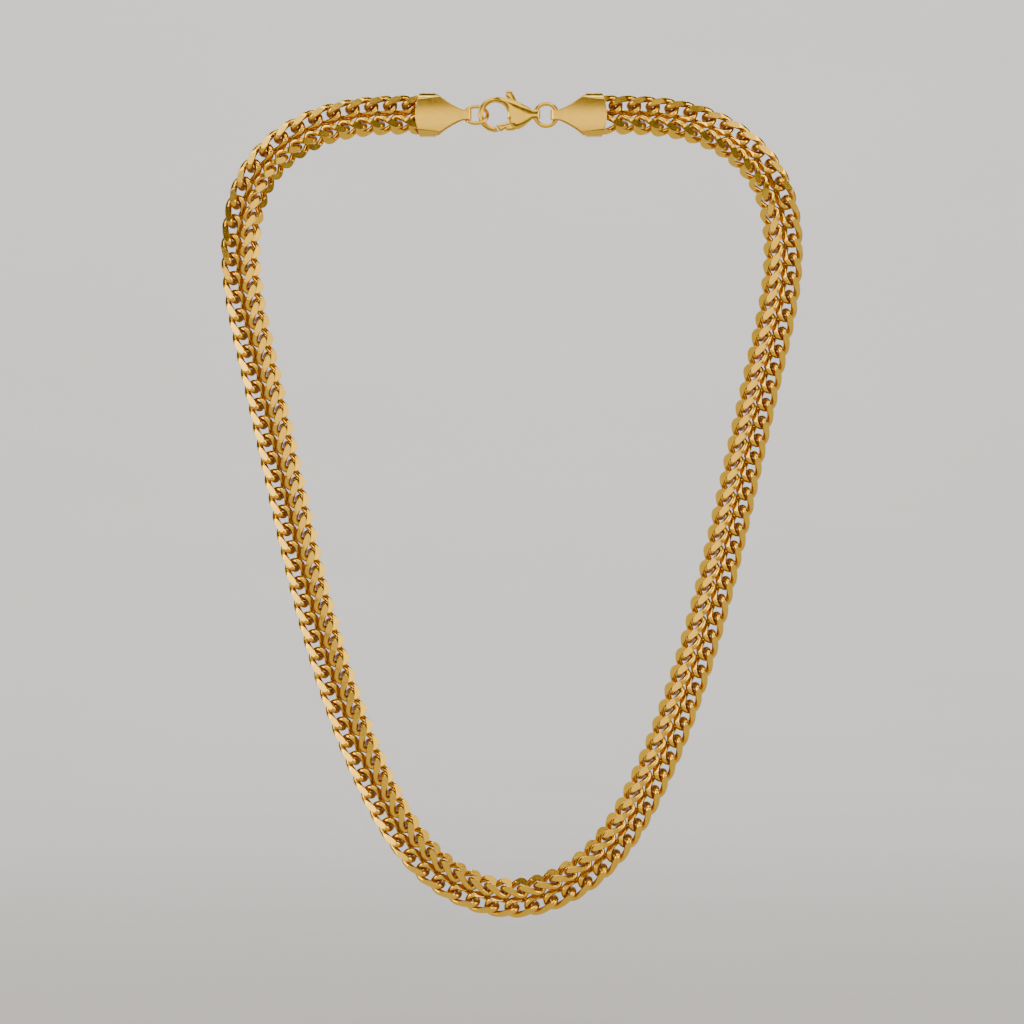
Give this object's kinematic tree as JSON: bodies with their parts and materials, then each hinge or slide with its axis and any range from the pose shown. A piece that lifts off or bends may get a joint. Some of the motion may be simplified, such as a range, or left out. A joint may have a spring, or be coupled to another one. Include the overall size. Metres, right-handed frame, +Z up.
{
  "type": "double curb link necklace",
  "caption": "Gold-coloured double curb link neck chain, fastened by a lobster clasp, jump rings and folded end caps.",
  "frame": {"origin": "middle of the fastened ends at the nape, where the necklace hangs", "axes": "+Z up along the hanging loop, +X to the viewer's right, -Y towards the viewer, the loop in the XZ plane"},
  "size_m": [0.1452, 0.007, 0.2064],
  "materials": {
    "chain_gold": "polished gold, diamond-cut facets",
    "sheet_gold": "polished gold with a fine brushed grain",
    "wire_gold": "polished gold wire",
    "clasp_gold": "polished cast gold"
  },
  "bodies": {
    "root": {"outer_strand": "chain_gold", "inner_strand": "chain_gold", "end_cap_left": "sheet_gold", "end_cap_right": "sheet_gold", "jump_ring_left": "wire_gold", "jump_ring_right": "wire_gold", "clasp_body": "clasp_gold"},
    "lever": {"clasp_lever": "clasp_gold"}
  },
  "joints": [
    {"name": "lever_hinge", "type": "hinge", "parent": "root", "child": "lever", "pos_m": [0.0014, 0, -0.0016], "axis": [0, 1, 0], "range_deg": [0, 22], "stiffness_Nm_per_rad": 0.001, "springref_deg": -17.19}
  ]
}
